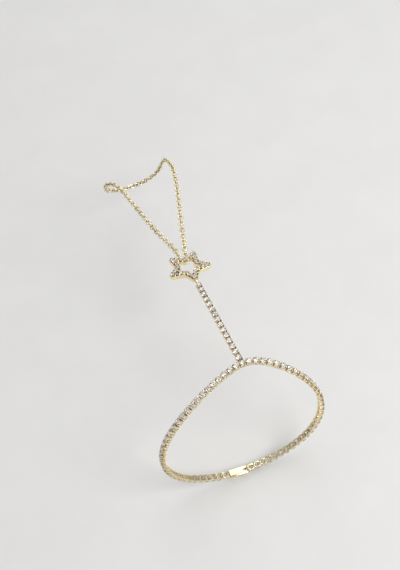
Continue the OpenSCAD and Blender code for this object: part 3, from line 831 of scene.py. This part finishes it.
class Nodes:
    """A material's node tree, with one Principled shader."""

    def __init__(self, name):
        self.material = bpy.data.materials.new(name)
        self.material.use_nodes = True
        self.tree = self.material.node_tree
        self.tree.nodes.clear()
        output = self.add("ShaderNodeOutputMaterial")
        self.shader = self.add("ShaderNodeBsdfPrincipled")
        self.link(self.shader.outputs["BSDF"], output.inputs["Surface"])
        self.place = self.add("ShaderNodeTexCoord").outputs["Object"]

    def add(self, kind, **values):
        node = self.tree.nodes.new(kind)
        for key, value in values.items():
            setattr(node, key, value)
        return node

    def link(self, a, b):
        self.tree.links.new(a, b)

    def noise(self, scale, detail=2.0, rough=0.5):
        """Noise whose features are 1/scale metres."""
        node = self.add("ShaderNodeTexNoise")
        node.inputs["Scale"].default_value = scale
        node.inputs["Detail"].default_value = detail
        node.inputs["Roughness"].default_value = rough
        self.link(self.place, node.inputs["Vector"])
        return node.outputs["Fac"]

    def ramp(self, value, stops, colours):
        """A colour that runs from one to the other as a value passes the two stops."""
        node = self.add("ShaderNodeValToRGB")
        for element, position, colour in zip(node.color_ramp.elements, stops, colours):
            element.position = position
            element.color = (*colour, 1.0)
        self.link(value, node.inputs["Fac"])
        return node.outputs["Color"]

    def spread(self, value, low, high):
        """The range that a value mostly keeps to, spread from low to high."""
        node = self.add("ShaderNodeMapRange")
        node.inputs["From Min"].default_value, node.inputs["From Max"].default_value = USUAL_RANGE
        node.inputs["To Min"].default_value = low
        node.inputs["To Max"].default_value = high
        self.link(value, node.inputs["Value"])
        return node.outputs["Result"]

    def with_painted_shade(self, colour, dark, reach):
        """A colour with painted shade: it goes dark in crevices narrower than the reach, in metres.
        """
        recess = self.add("ShaderNodeAmbientOcclusion", samples=PAINTED_SHADE_SAMPLES)
        recess.inputs["Distance"].default_value = reach
        mixed = self.add("ShaderNodeMix", data_type="RGBA")
        self.link(self.spread(recess.outputs["AO"], 0.0, 1.0), mixed.inputs["Factor"])
        mixed.inputs[MIX_FIRST].default_value = (*dark, 1.0)
        self.link(colour, mixed.inputs[MIX_SECOND])
        return mixed.outputs[MIX_COLOUR]

    def bump(self, value, strength, height):
        node = self.add("ShaderNodeBump")
        node.inputs["Strength"].default_value = strength
        node.inputs["Distance"].default_value = height
        self.link(value, node.inputs["Height"])
        self.link(node.outputs["Normal"], self.shader.inputs["Normal"])

    def surface(self, colour, roughness):
        """The shader takes a colour and a roughness that vary over the surface."""
        self.link(colour, self.shader.inputs["Base Color"])
        self.link(roughness, self.shader.inputs["Roughness"])


def gold_plate(name, bright, worn, dark, shade_reach, rough):
    """Polished plate: colour clouds, painted shade that darkens crevices, fine polishing marks,
    uneven gloss.
    """
    if name in bpy.data.materials:
        return bpy.data.materials[name]
    nodes = Nodes(name)
    nodes.shader.inputs["Metallic"].default_value = 1.0
    plate = nodes.ramp(nodes.noise(PLATE_CLOUDS, detail=3.0), PLATE_STOPS, (worn, bright))
    nodes.surface(nodes.with_painted_shade(plate, dark, shade_reach),
                  nodes.spread(nodes.noise(PLATE_GLOSS, detail=4.0, rough=0.6), *rough))
    nodes.bump(nodes.noise(PLATE_MARKS, detail=3.0), MARK_STRENGTH, MARK_DEPTH)
    return nodes.material


def cup_gold():
    """Polished gold of the cups and the clasp."""
    colours = bpy.context.scene.hand_chain_colours
    return gold_plate("polished_gold_plate", colours.polished_gold, colours.worn_gold,
                      colours.gold_painted_shade, CUP_PAINTED_SHADE, GOLD_ROUGH)


def star_gold():
    """The cups' gold, with painted shade that reaches into the star's deeper channel."""
    colours = bpy.context.scene.hand_chain_colours
    return gold_plate("star_gold_plate", colours.polished_gold, colours.worn_gold,
                      colours.gold_painted_shade, STAR_PAINTED_SHADE, GOLD_ROUGH)


def fine_gold():
    """Paler gold of the fine chain."""
    colours = bpy.context.scene.hand_chain_colours
    return gold_plate("fine_chain_gold_plate", colours.fine_gold, colours.fine_worn_gold,
                      colours.fine_chain_painted_shade, LINK_PAINTED_SHADE, LINK_ROUGH)


def clear_stone():
    """Clear cut stone, with faint clouds of its tints inside."""
    name, colours = "clear_cut_stone", bpy.context.scene.hand_chain_colours
    if name in bpy.data.materials:
        return bpy.data.materials[name]
    nodes = Nodes(name)
    nodes.shader.inputs["Transmission Weight"].default_value = STONE_CLEARNESS
    nodes.shader.inputs["IOR"].default_value = STONE_IOR
    nodes.surface(nodes.ramp(nodes.noise(STONE_CLOUDS, detail=1.0), STONE_STOPS,
                             (colours.stone_blush, colours.stone)),
                  nodes.spread(nodes.noise(STONE_GLOSS, detail=1.0), *STONE_ROUGH))
    return nodes.material


def floor_paper():
    """Pale matt paper, with faint clouds."""
    nodes, pale = Nodes("pale_floor_paper"), Vector(bpy.context.scene.hand_chain_colours.floor)
    nodes.shader.inputs["Specular IOR Level"].default_value = PAPER_SHINE
    nodes.surface(nodes.ramp(nodes.noise(PAPER_CLOUDS, detail=3.0), PAPER_STOPS,
                             (pale * PAPER_SHADE, pale)),
                  nodes.spread(nodes.noise(PAPER_GLOSS), *PAPER_ROUGH))
    return nodes.material


# Stage

def lay_floor(scene, height):
    """A wide flat floor."""
    mesh = bpy.data.meshes.new("floor")
    corners = [(x * FLOOR_HALF, y * FLOOR_HALF, height)
               for x, y in ((-1, -1), (1, -1), (1, 1), (-1, 1))]
    mesh.from_pydata(corners, [], [(0, 1, 2, 3)])
    mesh.materials.append(floor_paper())
    floor = bpy.data.objects.new("floor", mesh)
    scene.collection.objects.link(floor)
    floor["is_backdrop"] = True


def hang_light(scene, name, power, width, place, colour):
    """A round soft light that shines on the middle of the part."""
    light = bpy.data.lights.new(name, "AREA")
    light.energy, light.shape, light.color = power, "DISK", colour
    light.size = width
    lamp = bpy.data.objects.new(name, light)
    lamp.location = place
    aim = Vector(LIGHT_TARGET) - Vector(place)
    lamp.rotation_euler = aim.to_track_quat("-Z", "Y").to_euler()
    scene.collection.objects.link(lamp)


def light_surroundings(scene, brightness):
    """Pale light from all round, with colours shown as they are."""
    world = bpy.data.worlds.new("pale_studio")
    world.use_nodes = True
    background = world.node_tree.nodes["Background"]
    background.inputs["Color"].default_value = SKY_COLOUR
    background.inputs["Strength"].default_value = brightness
    scene.world = world
    scene.view_settings.view_transform = "Standard"


def camera_matrix():
    """Where the camera stands and looks, from its turn, height, roll and distance."""
    az, el, roll = (math.radians(a) for a in (CAMERA_TURN, CAMERA_HEIGHT, CAMERA_ROLL))
    forward = np.array([math.sin(az) * math.cos(el), math.cos(az) * math.cos(el), -math.sin(el)])
    level = np.array([math.cos(az), -math.sin(az), 0.0])
    rise = np.cross(level, forward)
    right = math.cos(roll) * level + math.sin(roll) * rise
    up = -math.sin(roll) * level + math.cos(roll) * rise
    place = (-CAMERA_DISTANCE * forward + CAMERA_RIGHT * right + CAMERA_RISE * up) * MM
    return Matrix(np.vstack([np.column_stack([right, up, -forward, place]), [0, 0, 0, 1]]))


def set_camera(scene, lens):
    """The scene's camera, which sees the photograph's view."""
    camera = bpy.data.cameras.new("camera")
    camera.sensor_fit, camera.sensor_width = "HORIZONTAL", SENSOR_WIDTH
    camera.lens = lens
    camera.clip_start, camera.clip_end = NEAREST, FARTHEST
    eye = bpy.data.objects.new("camera", camera)
    scene.collection.objects.link(eye)
    eye.matrix_world = camera_matrix()
    scene.camera = eye


# Settings

class HandChainSizes(bpy.types.PropertyGroup):
    """Sizes of the finer shapes."""
    edge_softness: FloatProperty(
        name="Cup edge softness", description="Rounding of a cup's edges",
        default=0.03 * MM, min=0.0, max=0.06 * MM, precision=6, unit="LENGTH")
    rail_height: FloatProperty(
        name="Rail height", description="Height of the rail round a cup's foot",
        default=0.26 * MM, min=0.1 * MM, max=0.4 * MM, precision=6, unit="LENGTH")
    rail_relief: FloatProperty(
        name="Rail relief", description="How far the rail stands out of a cup's wall",
        default=0.1 * MM, min=0.0, max=0.12 * MM, precision=6, unit="LENGTH")
    rail_reach: FloatProperty(
        name="Rail reach", description="How far the rail goes past a cup's ends",
        default=0.05 * MM, min=0.0, max=0.08 * MM, precision=6, unit="LENGTH")
    prong_lean: FloatProperty(
        name="Prong lean", description="How far a prong leans in over its stone",
        default=0.24 * MM, min=0.0, max=0.3 * MM, precision=6, unit="LENGTH")
    chain_stone: FloatProperty(
        name="Chain stone", description="Width of the chain's stones over their facets",
        default=1.94 * MM, min=1.7 * MM, max=1.96 * MM, precision=6, unit="LENGTH")
    star_softness: FloatProperty(
        name="Star edge softness", description="Rounding of the star's edges",
        default=0.1 * MM, min=0.02 * MM, max=0.11 * MM, precision=6, unit="LENGTH")
    rim_drop: FloatProperty(
        name="Star rim drop", description="How far the star's rim lies below its solid's top",
        default=0.42 * MM, min=0.0, max=0.45 * MM, precision=6, unit="LENGTH")
    star_stone: FloatProperty(
        name="Star stone", description="Width of the star's stones over their facets",
        default=1.3 * MM, min=1.1 * MM, max=1.3 * MM, precision=6, unit="LENGTH")
    star_prong_size: FloatProperty(
        name="Star prong size", description="Width of the small prongs along the star",
        default=0.4 * MM, min=0.2 * MM, max=0.42 * MM, precision=6, unit="LENGTH")
    star_prong_reach: FloatProperty(
        name="Star prong reach", description="How far a star prong stands out past its channel",
        default=0.14 * MM, min=0.0, max=0.16 * MM, precision=6, unit="LENGTH")
    star_prong_lean: FloatProperty(
        name="Star prong lean", description="How far a star prong leans over its stones",
        default=0.3 * MM, min=0.0, max=0.32 * MM, precision=6, unit="LENGTH")
    link_wire: FloatProperty(
        name="Link wire", description="Thickness of the fine chain's wire",
        default=0.55 * MM, min=0.2 * MM, max=0.6 * MM, precision=6, unit="LENGTH")
    link_width: FloatProperty(
        name="Link width", description="Outer width of the fine chain's links",
        default=2.05 * MM, min=1.2 * MM, max=2.1 * MM, precision=6, unit="LENGTH")
    link_count: IntProperty(
        name="Links", description="Odd number of links in the fine chain",
        default=105, min=91, max=121)


class HandChainColours(bpy.types.PropertyGroup):
    """Colours of the finishes and the floor."""
    polished_gold: FloatVectorProperty(
        name="Polished gold", description="Colour of the cups and the star where polished",
        default=(0.98, 0.87, 0.60), min=0, max=1, subtype="COLOR")
    worn_gold: FloatVectorProperty(
        name="Worn gold", description="Colour of the cups and the star where duller",
        default=(0.86, 0.73, 0.43), min=0, max=1, subtype="COLOR")
    # Painted shade: the colour that the cups and the star are darkened towards deep between parts,
    # where shade falls
    gold_painted_shade: FloatVectorProperty(
        name="Gold crevice", description="Colour of the cups and the star deep between parts",
        default=(0.28, 0.2, 0.07), min=0, max=1, subtype="COLOR")
    fine_gold: FloatVectorProperty(
        name="Fine chain gold", description="Colour of the fine chain where polished",
        default=(0.95, 0.87, 0.64), min=0, max=1, subtype="COLOR")
    fine_worn_gold: FloatVectorProperty(
        name="Fine chain worn gold", description="Colour of the fine chain where duller",
        default=(0.83, 0.73, 0.48), min=0, max=1, subtype="COLOR")
    # Painted shade: the colour that the fine chain is darkened towards where links cross, where
    # shade falls
    fine_chain_painted_shade: FloatVectorProperty(
        name="Fine chain crevice", description="Colour of the fine chain where links cross",
        default=(0.34, 0.26, 0.12), min=0, max=1, subtype="COLOR")
    stone: FloatVectorProperty(
        name="Stone", description="Colour of the clear stones",
        default=(1.0, 0.965, 0.925), min=0, max=1, subtype="COLOR")
    stone_blush: FloatVectorProperty(
        name="Stone blush", description="Faint tint in the clear stones",
        default=(0.99, 0.92, 0.89), min=0, max=1, subtype="COLOR")
    floor: FloatVectorProperty(
        name="Floor", description="Colour of the floor",
        default=(0.79, 0.8, 0.8), min=0, max=1, subtype="COLOR")


class HandChainStage(bpy.types.PropertyGroup):
    """Light, floor and camera."""
    key_power: FloatProperty(
        name="Key light", description="Power of the light on the right",
        default=3.4, min=0.0, unit="POWER")
    fill_power: FloatProperty(
        name="Fill light", description="Power of the large soft light beyond the fine chain",
        default=13.2, min=0.0, unit="POWER")
    top_power: FloatProperty(
        name="Top light", description="Power of the soft light overhead",
        default=2.6, min=0.0, unit="POWER")
    sky: FloatProperty(
        name="Surroundings", description="Brightness of the pale surroundings",
        default=0.4, min=0.0, max=3.0)
    floor_drop: FloatProperty(
        name="Floor drop", description="Gap between the floor and the lowest metal",
        default=0.6 * MM, min=0.0, precision=5, unit="LENGTH")
    lens: FloatProperty(
        name="Lens", description="Focal length of the camera in millimetres",
        default=96.698, min=20.0, max=300.0, unit="CAMERA")


# Operators

def make_stones(name, stones, node):
    """A finished piece of clear stones, whose facets stay flat."""
    make_piece(name, stones, node, clear_stone(), FACET_CREASE)


class HANDCHAIN_OT_wrist_cups(bpy.types.Operator):
    """Build the closed wrist row of four-prong cups"""
    bl_idname = "hand_chain.wrist_cups"
    bl_label = "Wrist Cups"
    bl_options = {"REGISTER", "UNDO"}

    def execute(self, context):
        cup = cup_part(context.scene.hand_chain_sizes, WRIST.pitch, (-1, 1))
        make_piece("wrist_chain_cups", placed(cup, WRIST_PLACES), "wrist_cups",
                   cup_gold())
        return {"FINISHED"}


class HANDCHAIN_OT_junction(bpy.types.Operator):
    """Build the cup that carries the strand, with its stone"""
    bl_idname = "hand_chain.junction"
    bl_label = "Junction Cup"
    bl_options = {"REGISTER", "UNDO"}

    def execute(self, context):
        sizes = context.scene.hand_chain_sizes
        cup = placed(cup_part(sizes, WRIST.pitch, (-1,)), [JUNCTION_PLACE])
        side_eye = placed(eye_and_neck(CUP_W / 2 - NECK_SEAT, SIDE_REACH),
                          [frame_of(JUNCTION_MID, STRAND_PINS[0], UP)])
        make_piece("junction_setting", joined([cup, side_eye]), "junction_cup",
                   cup_gold())
        stone = stone_field([JUNCTION_PLACE], CUP_MID, sizes.chain_stone / MM, GIRDLE_Z)
        make_stones("junction_cut_stone", stone, "junction_stone")
        return {"FINISHED"}


class HANDCHAIN_OT_strand_cups(bpy.types.Operator):
    """Build the row of cups from the junction to the star"""
    bl_idname = "hand_chain.strand_cups"
    bl_label = "Strand Cups"
    bl_options = {"REGISTER", "UNDO"}

    def execute(self, context):
        cup = cup_part(context.scene.hand_chain_sizes, CUP_PITCH, (-1, 1))
        make_piece("strand_chain_cups", placed(cup, STRAND_PLACES), "strand_cups_row",
                   cup_gold())
        return {"FINISHED"}


class HANDCHAIN_OT_chain_stones(bpy.types.Operator):
    """Build the round stones of the wrist chain and the strand"""
    bl_idname = "hand_chain.chain_stones"
    bl_label = "Chain Stones"
    bl_options = {"REGISTER", "UNDO"}

    def execute(self, context):
        width = context.scene.hand_chain_sizes.chain_stone / MM
        for name, places, node in (
                ("wrist_chain_stones", WRIST_PLACES, "wrist_stones"),
                ("strand_chain_stones", STRAND_PLACES, "strand_stones")):
            stones = stone_field(places, CUP_MID, width, GIRDLE_Z)
            make_stones(name, stones, node)
        return {"FINISHED"}


class HANDCHAIN_OT_star(bpy.types.Operator):
    """Build the open star with its prongs, clevis and soldered rings"""
    bl_idname = "hand_chain.star"
    bl_label = "Star"
    bl_options = {"REGISTER", "UNDO"}

    def execute(self, context):
        star = placed(star_part(context.scene.hand_chain_sizes), [STAR_PLACE])
        make_piece("open_star", star, "star_frame", star_gold())
        return {"FINISHED"}


class HANDCHAIN_OT_star_stones(bpy.types.Operator):
    """Build the small round stones of the star"""
    bl_idname = "hand_chain.star_stones"
    bl_label = "Star Stones"
    bl_options = {"REGISTER", "UNDO"}

    def execute(self, context):
        width = context.scene.hand_chain_sizes.star_stone / MM
        places = []
        for i in range(2 * STAR_POINTS * EDGE_STONES):
            (x, y), _ = star_at(i)
            places.append(np.array([at(STAR_PLACE, (x, y, 0)), *STAR_PLACE[1:]]))
        stones = stone_field(places, 0.0, width, STAR_GIRDLE, STAR_STONE_TILT)
        make_stones("star_cut_stones", stones, "star_stones")
        return {"FINISHED"}


class HANDCHAIN_OT_finger_chain(bpy.types.Operator):
    """Build the long loop of fine cable chain between the star's soldered rings"""
    bl_idname = "hand_chain.finger_chain"
    bl_label = "Finger Chain"
    bl_options = {"REGISTER", "UNDO"}

    def execute(self, context):
        chain = chain_part(context.scene.hand_chain_sizes)
        make_piece("finger_cable_chain", chain, "finger_chain", fine_gold(),
                   LINK_CREASE)
        return {"FINISHED"}


class HANDCHAIN_OT_clasp(bpy.types.Operator):
    """Build the plain clasp that closes the wrist row"""
    bl_idname = "hand_chain.clasp"
    bl_label = "Clasp"
    bl_options = {"REGISTER", "UNDO"}

    def execute(self, context):
        make_piece("plain_clasp", placed(clasp_part(), [CLASP_PLACE]), "clasp",
                   cup_gold())
        return {"FINISHED"}


class HANDCHAIN_OT_stage(bpy.types.Operator):
    """Build the floor, the lights and the camera"""
    bl_idname = "hand_chain.stage"
    bl_label = "Stage"
    bl_options = {"REGISTER", "UNDO"}

    def execute(self, context):
        scene, stage = context.scene, context.scene.hand_chain_stage
        lay_floor(scene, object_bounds()[0][2] - stage.floor_drop)
        for name, power, width, place, colour in LIGHTS:
            hang_light(scene, name, getattr(stage, power), width, place, colour)
        light_surroundings(scene, stage.sky)
        set_camera(scene, stage.lens)
        return {"FINISHED"}


class HANDCHAIN_PT_panel(bpy.types.Panel):
    """Sizes, colours and steps of the hand chain"""
    bl_idname = "HANDCHAIN_PT_panel"
    bl_label = "Hand Chain"
    bl_space_type = "VIEW_3D"
    bl_region_type = "UI"
    bl_category = "Hand Chain"

    def draw(self, context):
        layout, scene = self.layout, context.scene
        for title, group in (("Sizes", scene.hand_chain_sizes),
                             ("Colours", scene.hand_chain_colours),
                             ("Stage", scene.hand_chain_stage)):
            section = layout.box()
            section.label(text=title)
            for key in group.__annotations__:
                section.prop(group, key)
        for operator in OPERATORS:
            layout.operator(operator.bl_idname)


GROUPS = (HandChainSizes, HandChainColours, HandChainStage)
OPERATORS = (HANDCHAIN_OT_stage, HANDCHAIN_OT_wrist_cups, HANDCHAIN_OT_junction,
             HANDCHAIN_OT_strand_cups, HANDCHAIN_OT_chain_stones, HANDCHAIN_OT_star,
             HANDCHAIN_OT_star_stones, HANDCHAIN_OT_finger_chain, HANDCHAIN_OT_clasp)


def register():
    for cls in (*GROUPS, *OPERATORS, HANDCHAIN_PT_panel):
        bpy.utils.register_class(cls)
    scene = bpy.types.Scene
    scene.hand_chain_sizes = PointerProperty(type=HandChainSizes)
    scene.hand_chain_colours = PointerProperty(type=HandChainColours)
    scene.hand_chain_stage = PointerProperty(type=HandChainStage)


def unregister():
    scene = bpy.types.Scene
    del scene.hand_chain_stage, scene.hand_chain_colours, scene.hand_chain_sizes
    for cls in reversed((*GROUPS, *OPERATORS, HANDCHAIN_PT_panel)):
        bpy.utils.unregister_class(cls)


def main():
    register()
    for operator in OPERATORS:
        group, name = operator.bl_idname.split(".")
        getattr(getattr(bpy.ops, group), name)()


if __name__ == "__main__":
    main()
